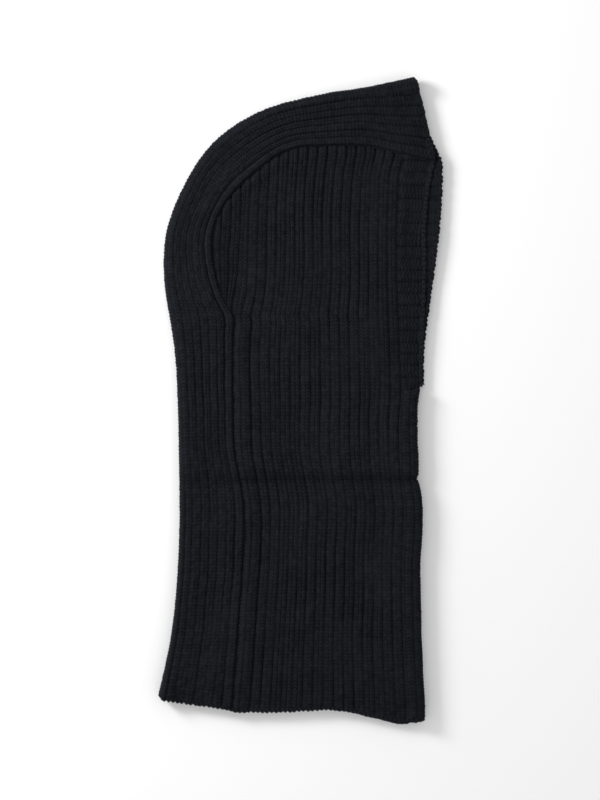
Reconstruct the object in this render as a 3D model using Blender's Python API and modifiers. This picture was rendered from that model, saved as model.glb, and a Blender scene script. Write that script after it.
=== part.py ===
"""A ribbed knit balaclava lying flat on its left side, face opening towards +X and crown towards +Y.

One knitted panel wraps round the front of the neck and makes both cheeks. A folded gusset band runs from the
nape's hem over the crown to the forehead. Linked seams join the band and the face trims to the panel. The
cloth is two layers deep everywhere, with the hollow for the head between them. It folds up across the neck
crease.

Lengths are in millimetres until new_cloth, new_chain and main turn them into metres.
"""

import math

import bmesh
import bpy
from mathutils import Matrix, Vector

MM = 0.001

# Driving dimensions
CLOTH = 3.5  # thickness of one layer of rib knit
HOLLOW = 4.8  # space between the layers
CHAIN_RADIUS = 1.1  # linked seams and cast-off edges are chains of yarn
CLEARANCE = 0.3  # between neighbouring pieces
CREASE_Y = -55.3  # the neck folds up about this line
FOOT_Y = 7.7  # lower end of the face opening
ARC_STEPS = 8  # straight steps round each fold of the cloth

HEIGHT = 2 * CLOTH + HOLLOW
FOLD_AXIS_Z = HEIGHT + 1.5  # the neck folds up and over onto the head about this height
NEAR_Z = HEIGHT - CLOTH / 2  # middle of the wearer's right layer, which lies on top
FAR_Z = CLOTH / 2  # middle of the wearer's left layer, which lies underneath
TURN_RADIUS = (NEAR_Z - FAR_Z) / 2
MIDDLE_Z = (NEAR_Z + FAR_Z) / 2
SEAM_EDGE = CHAIN_RADIUS + CLEARANCE  # from a seam's centre to the cloth beside it
CAST_OFF = 2 * CHAIN_RADIUS + CLEARANCE  # how far a finished edge's chain stands out past the cloth
CORNER_GAP = 1.0  # a trim's outline has no other point this close to a corner
HEM_GAP = 2.0  # the hem's line has no other point this close to its ends
SAME_POINT = 0.01  # corners of the cloth's faces closer than this are joined
SHARP_EDGE = math.radians(40)  # edges of the cloth sharper than this are not smoothed

# Stations along the gusset band, from the hem to the forehead: the fold's outside, then the seam.
BAND = (
    ((-99.0, -208.2), (-48.0, -215.4)),
    ((-89.3, -160.0), (-43.4, -160.0)),
    ((-84.6, -104.0), (-39.8, -104.0)),
    ((-84.0, -70.0), (-39.8, -70.0)),
    ((-84.2, CREASE_Y), (-42.2, CREASE_Y)),
    ((-84.4, -40.0), (-45.2, -40.0)),
    ((-85.4, 0.0), (-47.0, 0.0)),
    ((-88.4, 42.0), (-47.0, 42.0)),
    ((-91.0, 58.0), (-46.8, 58.0)),
    ((-93.2, 72.0), (-54.0, 71.0)),
    ((-94.9, 88.9), (-59.6, 88.0)),
    ((-92.8, 118.4), (-61.8, 114.0)),
    ((-79.6, 152.3), (-52.6, 138.0)),
    ((-59.4, 181.0), (-33.0, 158.6)),
    ((-27.5, 202.0), (-10.0, 174.4)),
    ((16.5, 214.2), (16.5, 178.2)),
    ((46.0, 218.8), (50.0, 177.6)),
    ((63.0, 222.4), (73.2, 172.2)),
    ((80.2, 226.0), (92.6, 168.0)),
)
CREASE_STATION = 4  # in BAND
TRIM_STATION = 17  # in BAND, where the face trim starts along the band's edge

FRONT_FOLD = (  # outside of the fold below the chin, from the face opening down to the hem
    (83.2, FOOT_Y - SEAM_EDGE),
    (82.4, -21.7),
    (83.8, CREASE_Y),
    (85.4, -70.0),
    (84.4, -118.0),
    (87.6, -218.6),
)
FRONT_CREASE = 2  # in FRONT_FOLD

TRIM_SEAM = (  # from the band down to the foot of the face trim
    (73.2, 172.2),
    (69.7, 158.9),
    (68.3, 139.3),
    (67.6, 90.3),
    (69.3, 41.3),
    (70.4, FOOT_Y),
)
NEAR_EDGE = (  # the right trim's cast-off edge, from the foot up to the forehead
    (84.4, 9.0),
    (84.5, 31.0),
    (86.0, 60.0),
    (87.0, 92.0),
    (87.2, 128.0),
    (91.2, 158.0),
    (94.2, 167.4),
)
FAR_EDGE = (  # the left trim's, which shows past the right one
    (85.4, 9.0),
    (85.6, 32.0),
    (89.6, 66.0),
    (95.4, 106.0),
    (98.4, 140.0),
    (98.4, 158.0),
    (95.4, 166.2),
)
HEM = (  # centre of the hem's chain, from the nape round to the front
    (-99.1, -209.8),
    (-48.0, -217.0),
    (-4.0, -217.4),
    (24.2, -216.2),
    (60.0, -222.6),
    (73.5, -225.0),
    (86.8, -221.4),
)


# Plane geometry


def through(points, steps=3):
    """A smooth line through the points, with that many steps between each two (Catmull-Rom)."""
    points = [Vector(p) for p in points]
    padded = [2 * points[0] - points[1], *points, 2 * points[-1] - points[-2]]
    line = [points[0]]
    for a, b, c, d in zip(padded, padded[1:], padded[2:], padded[3:]):
        for i in range(1, steps + 1):
            t = i / steps
            line.append(
                0.5 * (2 * b + (c - a) * t + (2 * a - 5 * b + 4 * c - d) * t * t
                       + (3 * b - a - 3 * c + d) * t ** 3)
            )
    return line


def beside(line, distance):
    """The line moved to the right of the way it runs."""
    moved = []
    for i, point in enumerate(line):
        way = (line[min(i + 1, len(line) - 1)] - line[max(i - 1, 0)]).normalized()
        moved.append(point + distance * Vector((way.y, -way.x)))
    return moved


def at_height(line, z):
    return [Vector((p.x, p.y, z)) for p in line]


def turn_round(outside, inward):
    """Points round a fold of the cloth, from the near layer to the far one.

    outside is a point on the fold's outside, and inward points from there into the cloth.
    """
    centre = outside + (TURN_RADIUS + CLOTH / 2) * inward
    points = []
    for i in range(ARC_STEPS + 1):
        angle = math.pi / 2 - math.pi * i / ARC_STEPS
        flat = centre - TURN_RADIUS * math.cos(angle) * inward
        points.append(Vector((flat.x, flat.y, MIDDLE_Z + TURN_RADIUS * math.sin(angle))))
    return points


def where(line, value, axis):
    """The point on the line whose x (axis 0) or y (axis 1) has that value."""
    for a, b in zip(line, line[1:]):
        if min(a[axis], b[axis]) <= value <= max(a[axis], b[axis]):
            return a.lerp(b, (value - a[axis]) / (b[axis] - a[axis]))
    return line[-1]


# Solids and their materials

KNIT = ((0.0095, 0.0102, 0.0130), 0.92)  # near-black navy wool: colour, roughness
YARN = ((0.0080, 0.0086, 0.0110), 0.90)


def add_node(name, data, look):
    colour, roughness = look
    material = bpy.data.materials.new(name)
    material.use_nodes = True
    shader = material.node_tree.nodes["Principled BSDF"]
    shader.inputs["Base Color"].default_value = (*colour, 1.0)
    shader.inputs["Roughness"].default_value = roughness
    shader.inputs["Metallic"].default_value = 0.0
    data.materials.append(material)
    node = bpy.data.objects.new(name, data)
    parts.objects.link(node)
    return node


def fold_with(node, hinge):
    """Hang the node on the hinge's empty without moving it."""
    node.parent = hinge
    node.matrix_parent_inverse = Matrix.Translation(-hinge.location)


def new_cloth(name, faces):
    """A layer of knit: its middle surface from lists of corner points, thickened by Solidify."""
    mesh = bpy.data.meshes.new(name)
    shape = bmesh.new()
    for corners in faces:
        shape.faces.new([shape.verts.new(corner * MM) for corner in corners])
    bmesh.ops.remove_doubles(shape, verts=shape.verts, dist=SAME_POINT * MM)
    bmesh.ops.recalc_face_normals(shape, faces=shape.faces)
    shape.to_mesh(mesh)
    shape.free()
    mesh.shade_smooth()
    mesh.set_sharp_from_angle(angle=SHARP_EDGE)
    node = add_node(name, mesh, KNIT)
    thicken = node.modifiers.new("thickness", "SOLIDIFY")
    thicken.thickness = CLOTH * MM
    thicken.offset = 0.0
    thicken.use_even_offset = True
    return node


def new_chain(name, points, closed=False):
    """A seam's or an edge's chain of yarn, as a plain tube."""
    curve = bpy.data.curves.new(name, "CURVE")
    curve.dimensions = "3D"
    curve.bevel_depth = CHAIN_RADIUS * MM
    curve.bevel_resolution = 1
    curve.use_fill_caps = not closed
    spline = curve.splines.new("POLY")
    spline.points.add(len(points) - 1)
    for target, point in zip(spline.points, points):
        target.co = (*(point * MM), 1.0)
    spline.use_cyclic_u = closed
    spline.use_smooth = True
    return add_node(name, curve, YARN)


def grid_faces(rows):
    """Four-sided faces between rows of points."""
    faces = []
    for low, high in zip(rows, rows[1:]):
        for i in range(len(low) - 1):
            faces.append([low[i], low[i + 1], high[i + 1], high[i]])
    return faces


# The pieces


def band_rows(stations):
    """Rows across the gusset band: near seam, round the fold, far seam."""
    rows = []
    for fold, seam in stations:
        inward = (seam - fold).normalized()
        edge = seam - SEAM_EDGE * inward
        rows.append([
            Vector((edge.x, edge.y, NEAR_Z)),
            *turn_round(fold, inward),
            Vector((edge.x, edge.y, FAR_Z)),
        ])
    return rows


def shifted(row, y):
    return [Vector((p.x, y, p.z)) for p in row]


def make_band(fold_line, seam_line, crease, hinge):
    rows = band_rows(list(zip(fold_line, seam_line)))
    below = shifted(rows[crease], CREASE_Y - CLEARANCE)
    above = shifted(rows[crease], CREASE_Y + CLEARANCE)
    fold_with(new_cloth("gusset_band_neck", grid_faces([*rows[:crease], below])), hinge)
    new_cloth("gusset_band_head", grid_faces([above, *rows[crease + 1:]]))


def front_rows(fold_line):
    return [turn_round(point, Vector((-1.0, 0.0))) for point in fold_line]


def panel_faces(outline, rows):
    """Both layers of the panel and the rows round its front fold. outline is the rest of a layer's edge."""
    near = [*at_height(outline, NEAR_Z), *[row[0] for row in rows]]
    far = [*at_height(outline, FAR_Z), *[row[-1] for row in rows]]
    return [near, far, *grid_faces(rows)]


def make_panel(seam_line, crease, trim_start, fold_line, front_crease, hem_line, hinge):
    beside_seam = beside(seam_line, SEAM_EDGE)
    rows = front_rows(fold_line)
    crease_above = shifted(rows[front_crease], CREASE_Y + CLEARANCE)
    crease_below = shifted(rows[front_crease], CREASE_Y - CLEARANCE)

    trim_line = through(TRIM_SEAM)
    corner = Vector((trim_line[0].x - SEAM_EDGE, beside_seam[trim_start].y))
    side = [Vector((p.x - SEAM_EDGE, p.y)) for p in trim_line if p.y < corner.y - SEAM_EDGE]
    side[-1].y = FOOT_Y - SEAM_EDGE
    crown = [p for p in beside_seam[crease + 1:trim_start + 1] if p.x < corner.x - SEAM_EDGE]
    start = Vector((beside_seam[crease].x, CREASE_Y + CLEARANCE))
    outline = [start, *crown, corner, *side]
    head_rows = [*rows[:front_crease], crease_above]
    new_cloth("wrap_panel_head", panel_faces(outline, head_rows))

    hem_edge = [p + Vector((0.0, SEAM_EDGE)) for p in hem_line]
    nape = [Vector((p.x, p.y)) for p in beside_seam[:crease]]
    nape[0] = where(hem_edge, nape[0].x, 0)
    bottom = [p for p in hem_edge if nape[0].x + HEM_GAP < p.x < rows[-1][0].x - HEM_GAP]
    outline = [*reversed(bottom), *nape, Vector((beside_seam[crease].x, CREASE_Y - CLEARANCE))]
    neck_rows = [crease_below, *rows[front_crease + 1:]]
    fold_with(new_cloth("wrap_panel_neck", panel_faces(outline, neck_rows)), hinge)


def make_trim(name, edge, z, band_line, trim_start):
    """A strip of rib between the panel and the face opening."""
    seam = [p + Vector((SEAM_EDGE, 0.0)) for p in through(TRIM_SEAM)]
    top = beside(band_line, SEAM_EDGE)[trim_start:]
    edge_line = beside(through(edge), -SEAM_EDGE)
    foot = FOOT_Y + SEAM_EDGE
    inner = [p for p in seam if foot + CORNER_GAP < p.y < top[0].y - CORNER_GAP]
    outer = [p for p in edge_line if foot + CORNER_GAP < p.y < top[-1].y - CORNER_GAP]
    corner = where(edge_line, top[-1].y - CLEARANCE, 1)
    outline = [
        where(edge_line, foot, 1),
        *outer,
        corner,
        *[p for p in reversed(top) if seam[0].x + CORNER_GAP < p.x < corner.x - CORNER_GAP],
        where(top, seam[0].x + CLEARANCE, 0),
        *inner,
        Vector((inner[-1].x, foot)),
    ]
    new_cloth(name, [at_height(outline, z)])


def make_gusset_seams(seam_line, crease, hinge):
    for side, z in (("right", NEAR_Z), ("left", FAR_Z)):
        line = at_height(seam_line, z)
        above = Vector((line[crease].x, CREASE_Y + CLEARANCE, z))
        below = Vector((line[crease].x, CREASE_Y - CLEARANCE, z))
        fold_with(new_chain(f"gusset_seam_{side}_neck", [*line[:crease], below]), hinge)
        new_chain(f"gusset_seam_{side}_head", [above, *line[crease + 1:]])


def make_trim_seams():
    """Each runs down beside the face trim, then forward under its foot."""
    down = [p for p in through(TRIM_SEAM) if p.y < TRIM_SEAM[0][1] - CAST_OFF - CLEARANCE]
    for side, z, edge in (("right", NEAR_Z, NEAR_EDGE), ("left", FAR_Z, FAR_EDGE)):
        front = Vector((edge[0][0] - CAST_OFF, FOOT_Y))
        new_chain(f"trim_seam_{side}", at_height([*down, front], z))


def make_face_edge(fold_end, seam_end):
    """The cast-off chain: up the right trim, round the band's end at the forehead, down the left trim."""
    inward = (seam_end - fold_end).normalized()
    ahead = Vector((-inward.y, inward.x)) * SEAM_EDGE
    round_fold = turn_round(fold_end + ahead, inward)
    points = [
        *at_height(through(NEAR_EDGE), NEAR_Z),
        *round_fold,
        *reversed(at_height(through(FAR_EDGE), FAR_Z)),
    ]
    new_chain("face_edge_chain", points)


def make_hem_edge(hem_line, hinge):
    """The hem's chain runs right round the neck opening."""
    front = turn_round(hem_line[-1] + Vector((CHAIN_RADIUS, 0.0)), Vector((-1.0, 0.0)))
    back = turn_round(hem_line[0], (hem_line[1] - hem_line[0]).normalized())
    inner = [p for p in hem_line if back[0].x + HEM_GAP < p.x < front[0].x - HEM_GAP]
    points = [
        *at_height(inner, NEAR_Z),
        *front,
        *reversed(at_height(inner, FAR_Z)),
        *reversed(back),
    ]
    fold_with(new_chain("hem_edge_chain", points, closed=True), hinge)


def main():
    hinge = bpy.data.objects.new("neck_fold", None)
    hinge.location = Vector((0.0, CREASE_Y, FOLD_AXIS_Z)) * MM
    hinge.empty_display_size = 20 * MM
    parts.objects.link(hinge)

    steps = 4
    fold_line = through([fold for fold, seam in BAND], steps)
    seam_line = through([seam for fold, seam in BAND], steps)
    front_line = through(FRONT_FOLD, steps)
    hem_line = through(HEM, steps)
    crease = CREASE_STATION * steps
    trim_start = TRIM_STATION * steps

    make_band(fold_line, seam_line, crease, hinge)
    make_panel(seam_line, crease, trim_start, front_line, FRONT_CREASE * steps, hem_line, hinge)
    make_trim("face_trim_right", NEAR_EDGE, NEAR_Z, seam_line, trim_start)
    make_trim("face_trim_left", FAR_EDGE, FAR_Z, seam_line, trim_start)
    make_gusset_seams(seam_line, crease, hinge)
    make_trim_seams()
    make_face_edge(fold_line[-1], seam_line[-1])
    make_hem_edge(hem_line, hinge)


for thing in list(bpy.data.objects):
    bpy.data.objects.remove(thing)
parts = bpy.data.collections.new("balaclava")
bpy.context.scene.collection.children.link(parts)
main()
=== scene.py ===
"""The knit surface of the balaclava: two-stitch ribs, linked seams, cast-off edges and the neck's crease.

Each knitted piece is a closed sheet. Its outer face follows the ribs and courses of the knit, with the
stitches' own relief, and its inner face is plainer. Lengths are in millimetres until new_mesh turns them into
metres. x runs towards the face opening, y towards the crown, and z up from the layer that lies underneath.
"""
import math

import bpy
import numpy as np
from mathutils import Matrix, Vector


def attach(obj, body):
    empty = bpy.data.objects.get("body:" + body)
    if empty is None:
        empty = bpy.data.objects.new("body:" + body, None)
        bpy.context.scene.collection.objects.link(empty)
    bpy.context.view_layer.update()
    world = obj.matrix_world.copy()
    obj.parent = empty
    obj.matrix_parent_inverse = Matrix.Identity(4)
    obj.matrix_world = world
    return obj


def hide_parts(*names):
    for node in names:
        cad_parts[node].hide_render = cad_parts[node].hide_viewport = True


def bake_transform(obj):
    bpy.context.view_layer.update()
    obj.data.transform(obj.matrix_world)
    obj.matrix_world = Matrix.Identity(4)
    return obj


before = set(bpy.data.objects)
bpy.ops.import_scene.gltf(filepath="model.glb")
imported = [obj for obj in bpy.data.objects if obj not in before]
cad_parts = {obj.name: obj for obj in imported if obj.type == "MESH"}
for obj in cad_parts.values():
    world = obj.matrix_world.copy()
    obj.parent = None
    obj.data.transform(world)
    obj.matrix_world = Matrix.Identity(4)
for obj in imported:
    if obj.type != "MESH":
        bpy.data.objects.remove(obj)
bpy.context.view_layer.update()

MM = 0.001
CLOTH = 3.5  # thickness of the panel and the band
TRIM_CLOTH = 2.9
TURN = 4.15  # radius of the cloth's middle where it folds
QUARTER = TURN * math.pi / 2
FOLD_MIDDLE = 5.9  # height of a fold's middle
FOLD_TOP = FOLD_MIDDLE + TURN
LOWER_MIDDLE = CLOTH / 2  # height of the lower layer's middle
CREASE_Y = -55.3
FOOT_Y = 7.7  # lower end of the face opening
SPLIT_Y = 59.0  # where the panel's extra ribs start, behind the ear
COURSE = 2.35  # height of one stitch
SEAM_LINK = 2.6  # length of one link of a seam's chain
UNDER = 0.45  # from the line at a trim's foot to the cloth on each side of it, and past a trim's edge line
LINED_UP = (6, 4)  # rows and columns of the fine outer face to one of the inner face

CHIN_RIBS = 2  # the panel's ribs from the fold under the chin to the trim's seam
CHIN_WIDTH = 13.4
RIB_PITCH = 6.4
BELOW_SPLIT = 17  # its ribs from the trim's seam to the gusset seam, below the split
EXTRA_RIBS = 3
ABOVE_SPLIT = BELOW_SPLIT + EXTRA_RIBS
SEAM_RIB = CHIN_RIBS + BELOW_SPLIT
CROWN_RIB = CHIN_RIBS + ABOVE_SPLIT
BAND_RIBS = 7  # on each side of the band's fold
BAND_ROW = 0.59  # from one row of vertices to the next
TRIM_PITCH = 8.35  # of the trims' ribs, which run across them
FINE, PLAIN = 12, 8  # steps across a rib, on the upper layer and on the lower one

BAND = np.array((  # the gusset band's fold and seam, from the hem to the forehead
    ((-99.0, -208.2), (-48.0, -215.4)),
    ((-89.3, -160.0), (-43.4, -160.0)),
    ((-84.6, -104.0), (-39.8, -104.0)),
    ((-84.0, -70.0), (-39.8, -70.0)),
    ((-84.2, CREASE_Y), (-42.2, CREASE_Y)),
    ((-84.4, -40.0), (-45.2, -40.0)),
    ((-85.4, 0.0), (-47.0, 0.0)),
    ((-88.4, 42.0), (-47.0, 42.0)),
    ((-91.0, 58.0), (-46.8, 58.0)),
    ((-93.2, 72.0), (-54.0, 71.0)),
    ((-94.9, 88.9), (-59.6, 88.0)),
    ((-92.8, 118.4), (-61.8, 114.0)),
    ((-79.6, 152.3), (-52.6, 138.0)),
    ((-59.4, 181.0), (-33.0, 158.6)),
    ((-27.5, 202.0), (-10.0, 174.4)),
    ((16.5, 214.2), (16.5, 178.2)),
    ((46.0, 218.8), (50.0, 177.6)),
    ((63.0, 222.4), (73.2, 172.2)),
    ((80.2, 226.2), (94.0, 167.6)),
))
# The lines that run up and down are y, then x; the hem's is x, then y
FRONT = np.array((
    (7.7, 84.2), (-1.0, 82.9), (-21.7, 82.4), (-55.3, 83.8),
    (-70.0, 85.4), (-118.0, 84.4), (-165.0, 85.2), (-218.6, 87.8),
))
TRIM_SEAM = np.array((
    (172.2, 73.2), (158.9, 69.7), (139.3, 68.3), (90.3, 67.6), (41.3, 69.3), (7.7, 70.4),
))
NEAR_EDGE = np.array((
    (9.0, 84.4), (31.0, 84.5), (60.0, 86.0), (92.0, 87.0), (128.0, 87.2), (158.0, 91.2), (166.0, 93.0),
))
FAR_EDGE = np.array((
    (9.0, 85.4), (32.0, 85.6), (66.0, 89.6), (106.0, 95.4), (140.0, 98.4), (158.0, 99.0), (170.0, 98.6),
))
HEM = np.array((
    (-99.1, -209.8), (-48.0, -217.0), (-4.0, -217.4), (24.2, -216.2),
    (60.0, -222.6), (73.5, -225.0), (86.2, -221.4),
))


# Curves and fields


def ease(t):
    """From 0 to 1 as t goes from 0 to 1, level at both ends."""
    t = np.clip(t, 0.0, 1.0)
    return t * t * (3 - 2 * t)


def hump(t):
    """1 at 0, falling away on both sides."""
    return np.exp(-(t ** 2))


def smooth(knots, values, t):
    """A smooth curve through the values at the knots."""
    knots, values, t = np.asarray(knots, float), np.asarray(values, float), np.asarray(t, float)
    slope = np.gradient(values, knots, axis=0)
    i = np.clip(np.searchsorted(knots, t, side="right") - 1, 0, len(knots) - 2)
    span = knots[i + 1] - knots[i]
    s = np.clip((t - knots[i]) / span, 0, 1)
    if values.ndim > 1:
        s, span = s[..., None], span[..., None]
    return (
        (2 * s**3 - 3 * s**2 + 1) * values[i]
        + (s**3 - 2 * s**2 + s) * span * slope[i]
        + (3 * s**2 - 2 * s**3) * values[i + 1]
        + (s**3 - s**2) * span * slope[i + 1]
    )


def at_y(line, y):
    """x at the height y of a line given as (y, x) pairs."""
    line = line[np.argsort(line[:, 0])]
    return smooth(line[:, 0], line[:, 1], y)


def gentle(x, y, size, seed):
    """A smooth field of about -1 to 1 that varies over the given size."""
    waves = 9
    source = np.random.default_rng(seed)
    total = np.zeros(np.broadcast(x, y).shape)
    for _ in range(waves):
        way = source.uniform(0, 2 * math.pi)
        wave = 2 * math.pi / (size * source.uniform(0.7, 1.8))
        total += np.sin(wave * (x * math.cos(way) + y * math.sin(way)) + source.uniform(0, 6.28))
    return total / math.sqrt(waves)


def run_along(line):
    """Length along the line to each of its points."""
    return np.concatenate([[0], np.cumsum(np.linalg.norm(np.diff(line, axis=0), axis=1))])


def magnitude(vectors):
    return np.linalg.norm(vectors, axis=-1, keepdims=True)


KNOT = run_along(BAND.mean(axis=1))
STATION = np.linspace(0, KNOT[-1], 1201)
FOLD_LINE = smooth(KNOT, BAND[:, 0], STATION)
SEAM_LINE = smooth(KNOT, BAND[:, 1], STATION)
ON_HEAD = SEAM_LINE[:, 1] >= SPLIT_Y + 1
CREST = int(np.argmin(np.where(ON_HEAD, SEAM_LINE[:, 0], np.inf)))  # where the seam turns forward


def seam_x(y):
    """x of the seam up the back, below the crest."""
    return np.interp(y, SEAM_LINE[:CREST, 1], SEAM_LINE[:CREST, 0])


def seam_y(x):
    """y of the seam over the head."""
    return np.interp(x, SEAM_LINE[CREST:, 0], SEAM_LINE[CREST:, 1])


def edge_x(edge, y):
    """x of a trim's edge line, which ends at its first and last points."""
    return at_y(edge, np.clip(y, edge[0, 0], edge[-1, 0]))


def hem_y(x):
    return smooth(HEM[:, 0], HEM[:, 1], x)


def distance(x, y, line):
    """Distance to the nearest point of the line."""
    gap = np.full(x.shape, 1e9)
    for px, py in line:
        gap = np.minimum(gap, (x - px) ** 2 + (y - py) ** 2)
    return np.sqrt(gap)


GRID_LEFT, GRID_LOW, GRID_CELL = 108.0, 234.0, 3.0  # the height grid's place and cell


def height_field():
    """Heights of the upper layer's middle on a coarse grid: full at the folds, low at the free edges."""
    x, y = np.meshgrid(
        np.arange(-GRID_LEFT, GRID_LEFT + 1, GRID_CELL), np.arange(-GRID_LOW, GRID_LOW + 1, GRID_CELL),
    )
    along = np.arange(-219.0, 8.0, GRID_CELL)
    front = np.stack([at_y(FRONT, along), along], 1)
    fold = distance(x, y, np.concatenate([FOLD_LINE[::8], front]))
    ridge = hump(distance(x, y, SEAM_LINE[::8]) / 24) * (1 - 0.6 * ease((x + 10) / 50))
    ridge *= 0.5 + 0.5 * ease((y - 15) / 60)  # lower where the neck folds onto the head
    dip = hump((distance(x, y, front) - 26) / 11)
    across = np.arange(-99.0, 87.0, GRID_CELL)
    hem = np.stack([across, hem_y(across)], 1)
    up = np.arange(9.0, 173.0, GRID_CELL)
    face = np.stack([at_y(NEAR_EDGE, up), up], 1)
    forehead = np.stack([np.linspace(*BAND[-1, :, i], 16) for i in (0, 1)], 1)
    free = distance(x, y, np.concatenate([hem, face, forehead]))
    # space between the layers: at the folds, inside, and at a free edge
    at_fold, at_edge = 4.8, 0.7
    inside = 3.0 + 2.6 * ridge - 0.8 * dip + 0.75 * gentle(x, y * 0.8, 62, 3) + 0.3 * gentle(x, y, 24, 5)
    space = inside + (at_fold - inside) * (1 - ease((fold - 6.5) / 26))
    opened = np.maximum(ease(free / 24), 1 - ease((fold - 4) / 12))
    return 1.5 * CLOTH + at_edge + (space - at_edge) * opened


HEIGHTS = height_field()


def upper(x, y):
    """Height of the upper layer's middle."""
    i = np.clip((x + GRID_LEFT) / GRID_CELL, 0, HEIGHTS.shape[1] - 1.001)
    j = np.clip((y + GRID_LOW) / GRID_CELL, 0, HEIGHTS.shape[0] - 1.001)
    i0, j0 = i.astype(int), j.astype(int)
    s = ease(i - i0) * 0.5 + (i - i0) * 0.5
    t = ease(j - j0) * 0.5 + (j - j0) * 0.5
    low = HEIGHTS[j0, i0] * (1 - s) + HEIGHTS[j0, i0 + 1] * s
    high = HEIGHTS[j0 + 1, i0] * (1 - s) + HEIGHTS[j0 + 1, i0 + 1] * s
    return low * (1 - t) + high * t


# The knit's relief


def uneven(a, b):
    """A number from 0 to 1 for each stitch, as hand and machine tension vary."""
    mixed = np.sin(a * 12.9898 + b * 78.233) * 43758.5453
    return mixed - np.floor(mixed)


def within(count):
    """Place across a rib or a column of stitches, from -1 at one side to 1 at the other."""
    return 2 * (count - np.floor(count)) - 1


def rib_depth(rib, course, groove, middle):
    """How far the knit lies below its crests.

    A rib is two columns of stitches, and each stitch is a V of yarn. groove is the depth between two ribs,
    and middle the depth between a rib's two columns.
    """
    column = within(2 * rib)
    phase = course + 0.46 * np.abs(column)
    stitch = uneven(np.floor(2 * rib), np.floor(phase + 0.5))
    wale = uneven(np.floor(2 * rib), 17.0)
    line = np.floor(rib + 0.5)
    drift = gentle(line * 31.0, course * COURSE, 70, 91)
    strength = 0.85 + 0.32 * uneven(line, 5.0) + 0.20 * drift
    between = groove * strength * np.abs(within(rib)) ** 4
    centre = middle * (0.6 + 0.6 * uneven(np.floor(rib), 9.0)) * hump(within(rib) / 0.13)
    split = 0.18 * hump(column / 0.26)
    legs = (0.42 + 0.38 * stitch) * (0.5 - 0.5 * np.cos(2 * math.pi * phase))
    return between + centre + split + legs + 0.22 * (stitch - 0.5) + 0.20 * (wale - 0.5)


def scallop(rib, height):
    """How far each rib stands out at a cast-off edge."""
    return height * (1 - np.abs(within(rib)) ** 3)


def border_slant(points, border):
    """Sine of the angle between the border and the grid line that leaves it, at the border's vertices."""
    here = np.nonzero(border)[0]
    after = np.clip(here + 1, 0, len(border) - 1)
    before = np.clip(here - 1, 0, len(border) - 1)
    after = np.where(border[after], after, here)
    before = np.where(border[before], before, here)
    along = points[0][after] - points[0][before]
    down = points[1][here] - points[0][here]
    size = np.linalg.norm(along, axis=1) * np.linalg.norm(down, axis=1)
    sine = np.linalg.norm(np.cross(along, down), axis=1) / np.maximum(size, 1e-9)
    return here, np.where(size > 1e-9, np.clip(sine, 0.15, 1), 1)


def one_way_distance(points, used):
    """Distance down the grid's columns from each vertex to the border above it."""
    step = np.linalg.norm(np.diff(points, axis=0), axis=2)
    border = used.copy()
    border[1:] &= ~used[:-1]
    slant = np.ones(used.shape[1])
    run = np.zeros(used.shape)
    result = np.zeros(used.shape)
    last = len(points) - 1
    for i in range(len(points)):
        if border[i].any():
            here, sine = border_slant((points[i], points[min(i + 1, last)]), border[i])
            slant[here] = sine
        if i:
            run[i] = np.where(border[i], 0, run[i - 1] + step[i - 1])
        result[i] = np.where(used[i], run[i] * slant, 0)
    return result


def border_distance(mid, used):
    """Distance along the grid from each vertex to the nearest border of the sheet."""
    turned, used_turned = mid.transpose(1, 0, 2), used.T
    ways = (
        one_way_distance(mid, used),
        one_way_distance(mid[::-1], used[::-1])[::-1],
        one_way_distance(turned, used_turned).T,
        one_way_distance(turned[::-1], used_turned[::-1])[::-1].T,
    )
    return np.minimum.reduce(ways)


def rolled(gap, radius):
    """1 inside the sheet, falling to 0 at its border along a quarter round."""
    t = np.clip(gap / radius, 0, 1)
    return np.sqrt(np.maximum(1 - (1 - t) ** 2, 0))


# Meshes


def new_mesh(name, points, loops, starts, depth):
    """An object from its points, its faces' corners, each face's first corner, and each point's painted
    shade, stored as the depth attribute.
    """
    mesh = bpy.data.meshes.new(name)
    mesh.vertices.add(len(points))
    mesh.vertices.foreach_set("co", (np.asarray(points) * MM).astype(np.float32).ravel())
    mesh.loops.add(len(loops))
    mesh.loops.foreach_set("vertex_index", np.asarray(loops, np.int32))
    mesh.polygons.add(len(starts))
    mesh.polygons.foreach_set("loop_start", np.asarray(starts, np.int32))
    mesh.polygons.foreach_set("use_smooth", np.ones(len(starts), bool))
    mesh.update(calc_edges=True)
    # the depth attribute is painted shade and highlight: the material darkens the colour where it is high and
    # lightens it where it is low
    mesh.attributes.new("depth", "FLOAT", "POINT").data.foreach_set("value", depth.astype(np.float32))
    piece = bpy.data.objects.new(name, mesh)
    bpy.context.scene.collection.objects.link(piece)
    return piece


def sheet_normals(mid):
    normal = np.cross(np.gradient(mid, axis=1), np.gradient(mid, axis=0))
    return normal / np.maximum(magnitude(normal), 1e-9)


def cell_corners(cells):
    """Which vertices of the grid the cells use."""
    used = np.zeros((cells.shape[0] + 1, cells.shape[1] + 1), bool)
    for r in (0, 1):
        for c in (0, 1):
            used[r:r + cells.shape[0], c:c + cells.shape[1]] |= cells
    return used


def inner_faces(big, index, coarse, step):
    """Corners of the inner face's cells. At a border they take up the fine vertices of the outer face."""
    kr, kc = step
    ring = np.pad(big, 1)
    faces = []
    for i, j in zip(*np.nonzero(big)):
        a, b = i * kr, j * kc
        ids = [coarse[i, j]]
        if not ring[i + 1, j]:
            ids += list(index[a + 1:a + kr, b])
        ids.append(coarse[i + 1, j])
        if not ring[i + 2, j + 1]:
            ids += list(index[a + kr, b + 1:b + kc])
        ids.append(coarse[i + 1, j + 1])
        if not ring[i + 1, j + 2]:
            ids += list(index[a + 1:a + kr, b + kc][::-1])
        ids.append(coarse[i, j + 1])
        if not ring[i, j + 1]:
            ids += list(index[a, b + 1:b + kc][::-1])
        faces.append(np.array(ids))
    return faces


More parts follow.
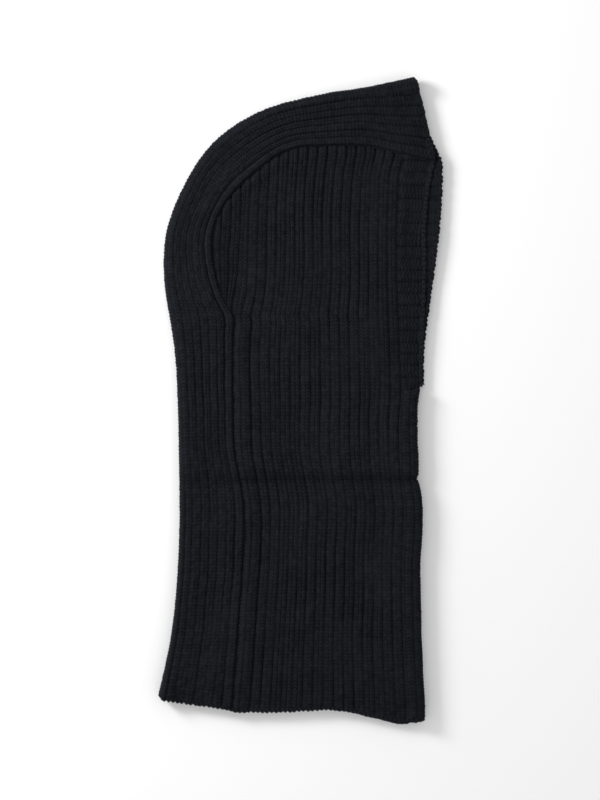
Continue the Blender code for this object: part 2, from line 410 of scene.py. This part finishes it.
def new_sheet(name, mid, depth, cells, half=CLOTH / 2):
    """A closed sheet: a fine outer face that lies depth below its crests, and a coarse inner one."""
    edge_radius = 1.7
    # painted shade: the colour is darkened at the sheet's rolled borders, and the inner face gets one fixed
    # value on the same scale
    painted_border_shade, painted_inner_shade = 0.9, 0.6
    used = cell_corners(cells)
    edge = rolled(border_distance(mid, used), edge_radius)
    normal = sheet_normals(mid)
    outer = mid + normal * ((half - depth) * edge)[..., None]
    index = np.full(used.shape, -1)
    index[used] = np.arange(used.sum())
    r, c = np.nonzero(cells)
    quads = np.stack([index[r, c], index[r, c + 1], index[r + 1, c + 1], index[r + 1, c]], 1)

    kr, kc = LINED_UP
    big = cells[::kr, ::kc]
    ring = np.pad(big, 1)
    inside = ring[:-1, :-1] & ring[1:, :-1] & ring[:-1, 1:] & ring[1:, 1:]
    coarse = index[::kr, ::kc].copy()
    coarse[inside] = int(used.sum()) + np.arange(inside.sum())
    inner = (mid - normal * (half * edge)[..., None])[::kr, ::kc]
    points = np.concatenate([outer[used], inner[inside]])
    # painted shade and highlight on the outer face: darker where the knit lies deep and at the borders,
    # lighter on the crests
    painted_outer_shade = (depth + painted_border_shade * (1 - edge))[used]
    painted_shade = np.concatenate([painted_outer_shade, np.full(int(inside.sum()), painted_inner_shade)])

    faces = inner_faces(big, index, coarse, LINED_UP)
    sizes = [4] * len(quads) + [len(face) for face in faces]
    starts = np.concatenate([[0], np.cumsum(sizes)[:-1]])
    return new_mesh(name, points, np.concatenate([quads.ravel(), *faces]), starts, painted_shade)


def resampled(line, spacing):
    line = np.asarray(line, float)
    run = run_along(line)
    keep = np.concatenate([[True], np.diff(run) > 1e-6])
    line, run = line[keep], run[keep]
    count = max(int(round(run[-1] / spacing)), 4)
    s = np.linspace(0, run[-1], count + 1)
    return np.stack([np.interp(s, run, line[:, i]) for i in range(3)], 1), s


def smoothed(line, times, closed=False):
    line = np.asarray(line, float)
    for _ in range(times):
        if closed:
            line = (np.roll(line, 1, 0) + 2 * line + np.roll(line, -1, 0)) / 4
        else:
            line = np.concatenate([line[:1], (line[:-2] + 2 * line[1:-1] + line[2:]) / 4, line[-1:]])
    return line


def new_chain(name, line, radius, link, closed=False, sway=0.25, bump=0.0):
    """A chain of yarn loops along the line: two strands that cross once in each link.

    sway is how far the strands swing apart, and bump makes the loops stand out unevenly.
    """
    sides, spacing = 8, 0.55
    if closed:
        line = np.concatenate([line, line[:1]])
    path, s = resampled(line, spacing)
    if closed:
        path, s = path[:-1], s[:-1]
    links = max(round((s[-1] + spacing) / link), 1)
    turn = math.pi * links * s / (s[-1] + (spacing if closed else 0))
    if closed:
        tangent = np.roll(path, -1, 0) - np.roll(path, 1, 0)
    else:
        tangent = np.gradient(path, axis=0)
    tangent /= np.maximum(magnitude(tangent), 1e-9)
    side = np.cross(tangent, (0.0, 0.0, 1.0))
    side = side / np.maximum(magnitude(side), 1e-9)
    up = np.cross(side, tangent)
    around = np.linspace(0, 2 * math.pi, sides, endpoint=False)
    loop = np.abs(np.sin(turn)) * (0.3 + 1.4 * uneven(np.floor(turn / math.pi), 2.0)) - 0.6
    path = path + side * (bump * loop)[:, None]

    n = len(path)
    i = np.arange(n if closed else n - 1)
    a, b = i * sides, ((i + 1) % n) * sides
    k = np.arange(sides)
    k2 = (k + 1) % sides
    tube = np.stack([a[:, None] + k, b[:, None] + k, b[:, None] + k2, a[:, None] + k2], 2).reshape(-1, 4)
    ends = [] if closed else [k, (k + (n - 1) * sides)[::-1]]
    points, loops, sizes, painted_shade = [], [], [], []
    for strand in (0, 1):
        swing = turn + strand * math.pi
        sideways = side * (sway * 2 * np.cos(swing) * radius)[:, None]
        centre = path + sideways + up * (sway * radius * np.sin(2 * swing))[:, None]
        fat = radius * (0.50 + 0.36 * np.abs(np.sin(swing)))
        # painted shade: each strand's colour is darker where it is thin and passes under the other
        painted_shade.append(np.repeat(0.9 * (1 - np.abs(np.sin(swing))), sides))
        ring = (
            centre[:, None]
            + side[:, None] * (np.cos(around) * fat[:, None])[..., None]
            + up[:, None] * (np.sin(around) * fat[:, None])[..., None]
        )
        points.append(ring.reshape(-1, 3))
        base = strand * n * sides
        loops += [tube.ravel() + base, *[end + base for end in ends]]
        sizes += [4] * len(tube) + [sides] * len(ends)
    starts = np.concatenate([[0], np.cumsum(sizes)[:-1]])
    return new_mesh(name, np.concatenate(points), np.concatenate(loops), starts, np.concatenate(painted_shade))


# The pieces' middle surfaces


def crease_line(x):
    return CREASE_Y + 0.5 * np.sin(x / 23.0) + 0.3 * np.sin(x / 8.0 + 1.0)


def crease_depth(x, y):
    """The pressed line across the neck, with the cloth standing a little on both sides of it. Through the
    depth attribute it also darkens the colour there, as painted shade.
    """
    off = y - crease_line(x)
    pressed = 0.16 + 0.08 * gentle(x, 0 * y, 26, 71)
    valley = 0.50 * hump(off / 4.0)
    lips = -0.06 * hump((off - 8.0) / 4.0) - 0.06 * hump((off + 8.0) / 4.0)
    line = pressed * hump(off / 1.7) + valley + lips
    return line * ease((x + 85.5) / 12) * ease((84.5 - x) / 5)


def seam_lift(gap, y):
    """Height of the panel beside the gusset seam: tucked under the band, then a low roll, then a dip."""
    roll = 0.5 + 0.55 * (1 - ease((y - 40) / 60))
    dip = 0.55 * (1 - ease((y - 30) / 60))
    return -1.5 * hump(gap / 2.6) + roll * hump((gap - 6.2) / 3.6) - dip * hump((gap - 12.6) / 2.2)


def chin_line(y):
    """x of the rib line that runs down from the trim's seam."""
    return at_y(FRONT, y) - CHIN_WIDTH


def trim_line(y):
    """x of the panel's edge at the trim's seam, and below the foot of the rib line it leads to."""
    low = chin_line(np.minimum(y, FOOT_Y))
    high = at_y(TRIM_SEAM, y) + 0.05
    foot = at_y(TRIM_SEAM, FOOT_Y) + 0.05
    mix = ease((y - (FOOT_Y - 26)) / 26)
    return np.where(y >= FOOT_Y, high, low + (foot - low) * mix)


def seam_side_line(y):
    """x of the rib line beside the seam. It keeps its distance below the split and leans forward above it."""
    from_seam = 5.4
    beside = seam_x(np.minimum(y, SPLIT_Y)) + from_seam
    start = seam_x(SPLIT_Y) + from_seam
    above = smooth((SPLIT_Y, 70.0, 84.0, 108.0, 150.0), (start, -38.6, -36.6, -36.2, -35.6), y)
    return np.where(y < SPLIT_Y, beside, above)


def panel_rows(rib, is_near, k, top_y):
    """y of the panel's vertices, in rows from the hem to the trim's foot, to the split, and to the crown."""
    blocks = (384, 90, 198)  # multiples of the rows to one of the inner face
    first, second = blocks[0], blocks[0] + blocks[1]
    rows = sum(blocks)
    y = np.zeros((rows + 1, len(rib)))
    foot = FOOT_Y - UNDER

    hem_front, hem_back, hem_fold = chin_line(-217.0), -46.8, 80.0  # x of rib lines where they end at the hem
    x_hem = np.where(k > 0, hem_front + (hem_back - hem_front) * np.clip(k / BELOW_SPLIT, 0, 1), hem_fold)
    cast_off = scallop(rib, 1.5) + 0.8 * (uneven(np.floor(2 * rib), 3.0) - 0.5)
    bottom = hem_y(x_hem) + 1.1 - cast_off
    bottom = bottom - np.where(is_near, 0, 1.6 * ease((x_hem - 20) / 50))
    raised = foot + 1.9 * ease(1 - rib / 1.6)  # the fold stands up a little behind the trims' feet
    y[:first + 1] = bottom + (raised - bottom) * np.linspace(0, 1, blocks[0] + 1)[:, None]
    y[first:second + 1] = foot + (SPLIT_Y - foot) * np.linspace(0, 1, blocks[1] + 1)[:, None]
    start = SPLIT_Y + 2.0 * np.clip((k - BELOW_SPLIT) / EXTRA_RIBS, 0, 1)
    y[second:] = start + (top_y - start) * np.linspace(0, 1, blocks[2] + 1)[:, None]

    cells = np.ones((rows, len(rib) - 1), bool)
    mid_rib = (rib[:-1] + rib[1:]) / 2
    cells[:first] &= mid_rib < SEAM_RIB
    cells[first:second] &= (mid_rib > CHIN_RIBS) & (mid_rib < SEAM_RIB)
    cells[second:] &= mid_rib > CHIN_RIBS
    return y, cells


def panel_grid():
    """The panel's middle surface, rib number and side at each vertex, and the cells it fills.

    Ribs are counted from the fold under the chin, and k from the trim's seam.
    """
    near = np.linspace(CROWN_RIB, 0, CROWN_RIB * FINE + 1)
    far = np.linspace(0, CROWN_RIB, CROWN_RIB * PLAIN + 1)[1:]
    rib = np.concatenate([near, far])
    is_near = np.concatenate([np.ones(len(near), bool), np.zeros(len(far), bool)])
    side = np.where(is_near, 1.0, -1.0)
    tuck = np.where(is_near, -0.35, 0.3)  # the upper panel's edge lies under the band's
    k = np.clip(rib - CHIN_RIBS, 0, None)

    crown_front, crown_back = 73.0, -61.2  # x of the first and last rib lines where they end at the crown
    top_x = crown_front - (crown_front - crown_back) * k / ABOVE_SPLIT
    top_y = seam_y(top_x) - tuck
    y, cells = panel_rows(rib, is_near, k, top_y)

    # rib lines spread evenly between the trim's seam and the line beside the gusset seam
    back = seam_x(np.minimum(y, SEAM_LINE[CREST, 1])) + tuck
    front_line = trim_line(y)
    beside = seam_side_line(y)
    last = BELOW_SPLIT - 1
    x = front_line + (beside - front_line) * np.clip(k / last, 0, 1)
    # above the split the rest leave the seam one by one, each a little higher
    leaves = y - 5.5 * np.clip(k - BELOW_SPLIT, 0, 2.6)
    opened = smooth((SPLIT_Y, 66.0, 74.0, 84.0, 100.0, 160.0), (0.01, 0.30, 0.52, 0.66, 0.74, 0.75), leaves)
    from_crown = ABOVE_SPLIT - k
    share = np.where(k < BELOW_SPLIT, 1 + (k - last) * (opened - 1), opened * from_crown / EXTRA_RIBS)
    x = np.where(k > last, back + (beside - back) * np.clip(share, 0, 1), x)
    reach = top_x - x[-1]
    x += reach * ease((y - (top_y - 45)) / 45) * (y > SPLIT_Y)
    # the ribs wander a little
    x += 0.35 * gentle(x * 0.6, y, 46, 11) * ease(k / 3) * ease(from_crown / 3) * ease((top_y - y) / 20)

    # the fold under the chin, drawn in at the crease
    flat_width = CHIN_WIDTH - 5.9  # of the two ribs, past the fold's turn
    arc = rib * (flat_width + QUARTER) / CHIN_RIBS
    turn = np.clip(arc / TURN, 0, math.pi / 2)
    notch = 1.1 * hump((y - CREASE_Y) / 2.2)
    fold_x = at_y(FRONT, np.minimum(y, FOOT_Y)) - 1.0 - TURN - notch + 0.25 * gentle(y, 0 * y, 30, 21)
    bend = rib < CHIN_RIBS
    turning = bend & (arc < QUARTER)
    settling = bend & (arc >= QUARTER) & (side > 0)
    x_fold = np.where(arc < QUARTER, fold_x + TURN * np.cos(turn), fold_x - (arc - QUARTER))
    mix = ease((rib - 1.0) / 1.0)
    x = np.where(bend, x_fold * (1 - mix) + x * mix, x)

    # heights
    gap = np.minimum((np.where(y < SPLIT_Y, SEAM_RIB, CROWN_RIB) - rib) * RIB_PITCH, 99)
    gap = np.where(y > 100, np.minimum(gap, (top_y - y) * 0.85), gap)
    z_near = upper(x, y) + seam_lift(np.maximum(gap, 0), y)
    z = np.where(side > 0, z_near, LOWER_MIDDLE)
    z = np.where(turning, FOLD_MIDDLE + side * TURN * np.sin(turn), z)
    ramp = ease((arc - QUARTER) / 6)
    z = np.where(settling, FOLD_TOP * (1 - ramp) + z_near * ramp, z)
    return np.stack([x, y, z], 2), rib, side, cells


def band_grid():
    """The band's middle surface, from the far seam round the fold to the near seam.

    With it come each vertex's rib number and side, the cells it fills, and the length along the band.
    """
    far = np.linspace(-BAND_RIBS, 0, BAND_RIBS * PLAIN + 1)
    near = np.linspace(0, BAND_RIBS, BAND_RIBS * FINE + 1)[1:]
    rib = np.concatenate([far, near])
    side = np.sign(rib + 1e-9)

    centre = (FOLD_LINE + SEAM_LINE) / 2
    run = run_along(centre)
    rows = int(run[-1] / BAND_ROW / LINED_UP[0]) * LINED_UP[0]
    length = np.linspace(0, run[-1], rows + 1)
    to_end = length[-1] - length
    t = np.interp(length, run, STATION)
    fold = smooth(KNOT, BAND[:, 0], t)
    seam = smooth(KNOT, BAND[:, 1], t)
    inward = seam - fold
    ahead = np.array((-inward[-1, 1], inward[-1, 0])) / np.linalg.norm(inward[-1])
    width = magnitude(inward)
    inward /= width
    width = width + np.where(rib > 0, 0.15, -0.1)[None, :] * ease(np.abs(rib) / BAND_RIBS)[None, :]

    # the rib on the fold is opened wide
    fine = np.linspace(0, BAND_RIBS, 701)
    pitch = 1 + 0.85 * (1 - ease((fine - 0.4) / 1.1))
    reach = np.concatenate([[0], np.cumsum((pitch[1:] + pitch[:-1]) / 2)])
    share = np.interp(np.abs(rib), fine, reach / reach[-1])
    inset = 0.85  # of the cloth's middle from the outline
    total = width - (inset + TURN) + QUARTER
    arc = total * share
    turn = np.clip(arc / TURN, 0, math.pi / 2)
    inside = np.where(arc < QUARTER, inset + TURN * (1 - np.cos(turn)), inset + TURN + arc - QUARTER)
    inside = inside + 0.3 * gentle(length[:, None], 0, 40, 31) * ease(arc / 10) * ease((total - arc) / 6)
    x = fold[:, :1] + inward[:, :1] * inside
    y = fold[:, 1:] + inward[:, 1:] * inside

    # scalloped ends at the hem and the forehead; the far layer's forehead corner reaches further
    cast_off = scallop(rib, 1.3) - 0.3 + 0.6 * (uneven(np.floor(2 * rib), 3.0) - 0.5)
    y -= cast_off * (1 - ease(length / 14))[:, None]
    corner = 3.4 * ease((-rib - 4) / 3) * (1 - ease(to_end / 34))[:, None]
    further = cast_off * (1 - ease(to_end / 10))[:, None] + corner
    x += ahead[0] * further
    y += ahead[1] * further

    # the edge rib stands up as a ridge over the seam, most of all round the back of the head
    gap = total - arc
    pitch_here = total / 7.6  # about one rib; the one on the fold is wider
    strong = (0.6 + 0.4 * hump((seam[:, 1] - 130.0) / 60))[:, None]
    ridge = 1.25 * strong * hump((gap - 0.5 * pitch_here) / (0.55 * pitch_here))
    z_near = upper(x, y) + ridge - 0.7 * hump((gap - 1.15 * pitch_here) / 1.6)
    curl = 1.6 * ease((-rib - 4.5) / 2.5) * (1 - ease(to_end / 16))[:, None]
    flat = np.where(side > 0, z_near, LOWER_MIDDLE + curl)
    z = np.where(arc < QUARTER, FOLD_MIDDLE + side * TURN * np.sin(turn), flat)
    ramp = ease((arc - QUARTER) / 5)
    z = np.where((arc >= QUARTER) & (side > 0), FOLD_TOP * (1 - ramp) + z_near * ramp, z)
    cells = np.ones((rows, len(rib) - 1), bool)
    return np.stack([x, y, z], 2), rib, side, cells, length


def trim_grid(edge, is_near):
    """A trim's middle surface, rib numbers, cells and half its thickness."""
    rows, columns = 276, 40
    across = np.linspace(0, 1, columns + 1)
    up = np.linspace(0, 1, rows + 1)[:, None]
    inset = -0.35 if is_near else 0.35

    def seam_at(y):
        return at_y(TRIM_SEAM, y) + inset

    def edge_at(y):
        return edge_x(edge, y) + UNDER

    # a first x gives each column its upper end, and the final y then gives x
    y = FOOT_Y + UNDER + (168.0 - FOOT_Y) * up + 0 * across
    x = seam_at(y) + (edge_at(y) - seam_at(y)) * across
    corner_x = 93.5  # the gusset seam ends here, and the left trim goes on past it
    over = 0.35 if is_near else 0.55 * np.maximum(x - corner_x, 0) - 0.35
    top = seam_y(np.minimum(x, corner_x)) + over
    foot = FOOT_Y + UNDER + (1.2 * across if is_near else 2.4 * ease((across - 0.72) / 0.28))
    y = foot + (top - foot) * up
    rib = (y - FOOT_Y) / TRIM_PITCH + 0.12 * gentle(x * 0.3, y, 50, 41)
    seam_here = seam_at(np.minimum(y, 174))
    x = seam_here + (edge_at(y) - seam_here) * across
    x += (scallop(rib, 1.2) - 0.7) * ease((across - 0.55) / 0.45)

    # both curl up a little past the right trim's edge
    front = ease((across - 0.15) / 0.85)
    past = x - edge_x(NEAR_EDGE, y)
    z_far = LOWER_MIDDLE - 0.3 + 1.1 * front + 0.25 * gentle(x, y, 40, 51) * front
    z_far = z_far + 2.1 * ease((past + 2.5) / 6.0) * ease((y - 12) / 30)
    thinned = 0.42 if is_near else 0.1
    half = np.broadcast_to(TRIM_CLOTH / 2 * (1 - thinned * ease((across - 0.55) / 0.45)), x.shape)
    if is_near:
        z = upper(x, y) * (1 - front) + (z_far + TRIM_CLOTH / 2 + half + 0.1) * front
        z = z - 0.5 * hump((x - seam_at(y)) / 2.4)
    else:
        z = z_far
    cells = np.ones((rows, columns), bool)
    return np.stack([x, y, z], 2), rib, cells, half


# Materials


def node(tree, kind, **sockets):
    """A new node with values for its sockets, which are named with _ for each space."""
    made = tree.nodes.new(kind)
    for key, value in sockets.items():
        made.inputs[key.replace("_", " ")].default_value = value
    return made


def scaled(tree, value, factor, added=None):
    """A linked value times a factor, plus another linked value if there is one."""
    made = tree.nodes.new("ShaderNodeMath")
    made.operation = "MULTIPLY" if added is None else "MULTIPLY_ADD"
    made.inputs[1].default_value = factor
    tree.links.new(value, made.inputs[0])
    if added is not None:
        tree.links.new(added, made.inputs[2])
    return made.outputs[0]


def knit_material(name, dark, light):
    """Fuzzy yarn with the colour of its fibres and strands, slow patches of colour, and painted shade and
    highlight from the mesh's depth attribute.
    """
    material = bpy.data.materials.new(name)
    material.use_nodes = True
    tree = material.node_tree
    shader = tree.nodes["Principled BSDF"]
    place = tree.nodes.new("ShaderNodeTexCoord")
    fibre = node(tree, "ShaderNodeTexNoise", Scale=1500.0, Detail=3.0, Roughness=0.7)
    patch = node(tree, "ShaderNodeTexNoise", Scale=45.0, Detail=2.0, Roughness=0.5)
    yarn = node(tree, "ShaderNodeTexNoise", Scale=330.0, Detail=2.0, Roughness=0.6)
    for texture in (fibre, patch, yarn):
        tree.links.new(place.outputs["Object"], texture.inputs["Vector"])
    strands = scaled(tree, yarn.outputs["Fac"], 0.30)
    fuzzy = scaled(tree, fibre.outputs["Fac"], 0.55, strands)
    mottled = scaled(tree, patch.outputs["Fac"], 0.10, fuzzy)
    ramp = tree.nodes.new("ShaderNodeValToRGB")
    for stop, position, colour in zip(ramp.color_ramp.elements, (0.34, 0.64), (dark, light)):
        stop.position = position
        stop.color = (*colour, 1)
    tree.links.new(mottled, ramp.inputs["Fac"])
    # painted shade and highlight: the colour is darkened where the depth attribute is high (down between the
    # stitches, in the crease, at rolled borders, where seam strands pass under) and lightened where it is
    # low, on the crests
    low = tree.nodes.new("ShaderNodeAttribute")
    low.attribute_name = "depth"
    sunk = node(tree, "ShaderNodeMapRange", From_Min=0.1, From_Max=1.7, To_Min=1.34, To_Max=0.34)
    tree.links.new(low.outputs["Fac"], sunk.inputs["Value"])
    painted_shade = tree.nodes.new("ShaderNodeVectorMath")
    painted_shade.operation = "SCALE"
    tree.links.new(ramp.outputs["Color"], painted_shade.inputs[0])
    tree.links.new(sunk.outputs[0], painted_shade.inputs["Scale"])
    tree.links.new(painted_shade.outputs[0], shader.inputs["Base Color"])
    bump = node(tree, "ShaderNodeBump", Strength=0.55, Distance=0.00035)
    tree.links.new(fibre.outputs["Fac"], bump.inputs["Height"])
    tree.links.new(bump.outputs["Normal"], shader.inputs["Normal"])
    shader.inputs["Roughness"].default_value = 0.88
    shader.inputs["Specular IOR Level"].default_value = 0.08
    shader.inputs["Sheen Weight"].default_value = 0.017
    shader.inputs["Sheen Roughness"].default_value = 0.55
    shader.inputs["Sheen Tint"].default_value = (0.55, 0.60, 0.75, 1)
    return material


KNIT = knit_material("rib_knit", (0.0034, 0.0038, 0.0055), (0.0116, 0.0125, 0.0161))
YARN = knit_material("linking_yarn", (0.0040, 0.0044, 0.0062), (0.0128, 0.0137, 0.0175))


def dressed(piece, material):
    piece.data.materials.append(material)


def across_crease(piece):
    """Bakes the piece's placement into its mesh."""
    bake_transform(piece)


# Knitted pieces


def panel_depth(mid, rib, side):
    """How far the panel's outer face lies below its crests."""
    x, y = mid[..., 0], mid[..., 1]
    under_band = hump((mid[-1, :, 1] - y) / 11.0)
    in_front = hump((rib - (SEAM_RIB - 2)) / 0.35) * ease((SPLIT_Y + 20 - y) / 30)  # two ribs from the seam
    groove = 0.9 + 0.15 * gentle(x * 0.5, y, 40, 81) + 0.7 * under_band + 0.45 * in_front
    middle = 0.55 + 0.12 * gentle(x, y, 33, 82)
    depth = rib_depth(rib, y / COURSE + 0.10 * gentle(x, y, 9, 61), groove, middle)
    # ribs squeezed together above the split lose their relief
    pitch = np.linalg.norm(np.gradient(mid, axis=1), axis=2) / np.abs(np.gradient(rib))
    depth = 0.8 + (depth - 0.8) * np.where(y > SPLIT_Y - 1, ease((pitch - 0.8) / 2.4), 1)
    # the same value also darkens the colour as painted shade, in the crease as well as between the stitches
    return depth + crease_depth(x, y) * np.where(side > 0, 1, 0.4)


def band_depth(mid, rib, side, length):
    """How far the band's outer face lies below its crests."""
    x, y = mid[..., 0], mid[..., 1]
    middle = 0.5 + 0.7 * (np.abs(rib) < 1) * ease((-40 - y) / 40)
    round_head = hump((y - 130.0) / 75) * ease((-10 - x) / 50)
    forward = ease((x + 40) / 40)
    # the groove beside the edge rib is deeper; over the forehead it is one rib further in
    beside_edge = hump((np.abs(rib) - 6) / 0.5) * (1 - forward) + hump((np.abs(rib) - 5) / 0.5) * forward
    groove = 1.05 - 0.20 * ease((20 - y) / 50) - 0.42 * round_head * (1 - beside_edge)
    groove += 0.25 * beside_edge - 0.6 * hump(rib / 0.5)
    depth = rib_depth(rib, length[:, None] / COURSE + 0.10 * gentle(x, y, 9, 62), groove, middle)
    # the same value also darkens the colour as painted shade, in the crease as well as between the stitches
    return depth + crease_depth(x, y) * np.where(side > 0, 0.8, 0.4)


def build_panel():
    mid, rib, side, cells = panel_grid()
    panel = new_sheet("wrap_panel", mid, panel_depth(mid, rib, side), cells)
    dressed(panel, KNIT)
    across_crease(panel)
    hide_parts("wrap_panel_head", "wrap_panel_neck")
    return mid[0, rib <= SEAM_RIB]


def build_band():
    mid, rib, side, cells, length = band_grid()
    band = new_sheet("gusset_band", mid, band_depth(mid, rib, side, length), cells)
    dressed(band, KNIT)
    across_crease(band)
    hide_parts("gusset_band_head", "gusset_band_neck")
    return mid


def build_trim(name, edge, is_near):
    mid, rib, cells, half = trim_grid(edge, is_near)
    wander = 0.45 * gentle(mid[..., 0] * 0.5, mid[..., 1], 15, 63)
    depth = 0.12 + 0.80 * rib_depth(rib, mid[..., 0] / COURSE + wander, 0.9, 0.22)
    # the depth also darkens the trim's colour as painted shade in its grooves
    trim = new_sheet(name + "_knit", mid, depth, cells, half)
    dressed(trim, KNIT)
    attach(trim, "hood")
    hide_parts(name)
    return mid


panel_hem = build_panel()
band = build_band()
right_trim = build_trim("face_trim_right", NEAR_EDGE, True)
left_trim = build_trim("face_trim_left", FAR_EDGE, False)


# Linked seams and cast-off edges


def build_gusset_seam(side, line, sunk):
    chain = new_chain(f"gusset_seam_{side}", smoothed(line[::2], 6) - (0, 0, sunk), 0.85, SEAM_LINK)
    dressed(chain, YARN)
    across_crease(chain)
    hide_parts(f"gusset_seam_{side}_head", f"gusset_seam_{side}_neck")


def build_trim_seam(side, mid, raised):
    """The seam down the trim's back edge and under its foot."""
    line = np.concatenate([mid[::-1, 0][1:], mid[0, 1:-5]])
    chain = new_chain(f"trim_seam_{side}_chain", smoothed(line, 6) + (-0.35, -0.3, raised), 1.0, SEAM_LINK)
    dressed(chain, YARN)
    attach(chain, "hood")
    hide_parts(f"trim_seam_{side}")


build_gusset_seam("right", band[:, -1], 0.9)
build_gusset_seam("left", band[:, 0], 0.0)
build_trim_seam("right", right_trim, 0.25)
build_trim_seam("left", left_trim, 0.0)

face_line = np.concatenate([right_trim[:, -2], band[-2, ::-1], left_trim[::-1, -2]])
face_edge = new_chain("face_edge", smoothed(face_line[::2], 4), 1.2, 3.3, sway=0.27, bump=0.45)
dressed(face_edge, YARN)
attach(face_edge, "hood")
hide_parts("face_edge_chain")

hem_line = smoothed(np.concatenate([panel_hem, band[0]])[::3], 3, closed=True)
hem_edge = new_chain("hem_edge", hem_line, 1.3, 3.2, closed=True, sway=0.34, bump=-0.65)
dressed(hem_edge, YARN)
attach(hem_edge, "neck")
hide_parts("hem_edge_chain")


# Floor, light and camera

FLOOR_HALF = 20
FLOOR_GAP = 0.0004  # below the lowest yarn
VIEW_HEIGHT = 0.560  # of what the camera sees at the cloth
CLOTH_HEIGHT = 0.008
LENS, SENSOR = 100, 36

corners = [(-1, -1), (1, -1), (1, 1), (-1, 1)]
mesh = bpy.data.meshes.new("floor")
mesh.from_pydata([(FLOOR_HALF * x, FLOOR_HALF * y, 0) for x, y in corners], [], [(0, 1, 2, 3)])
floor = bpy.data.objects.new("floor", mesh)
bpy.context.scene.collection.objects.link(floor)
floor.location.z = -FLOOR_GAP
paper = bpy.data.materials.new("floor_white")
paper.use_nodes = True
paper_shader = paper.node_tree.nodes["Principled BSDF"]
paper_shader.inputs["Base Color"].default_value = (0.93, 0.93, 0.93, 1)
paper_shader.inputs["Roughness"].default_value = 0.9
paper_shader.inputs["Specular IOR Level"].default_value = 0.0
mesh.materials.append(paper)

world = bpy.data.worlds.new("studio")
world.use_nodes = True
background = world.node_tree.nodes["Background"]
background.inputs["Color"].default_value = (1, 1, 1, 1)
background.inputs["Strength"].default_value = 0.74
bpy.context.scene.world = world

light = bpy.data.lights.new("key", "AREA")
light.size = 0.34
light.energy = 9.4
key = bpy.data.objects.new("key", light)
key.location = (-0.80, 0.44, 0.53)
key.rotation_euler = (Vector((-0.02, 0.06, 0)) - key.location).to_track_quat("-Z", "Y").to_euler()
bpy.context.scene.collection.objects.link(key)

camera = bpy.data.objects.new("camera", bpy.data.cameras.new("camera"))
camera.data.lens = LENS
camera.data.sensor_width = SENSOR
camera.location = (0.0, 0.0, VIEW_HEIGHT * LENS / SENSOR + CLOTH_HEIGHT)
bpy.context.scene.collection.objects.link(camera)
bpy.context.scene.camera = camera
bpy.context.scene.view_settings.view_transform = "Standard"
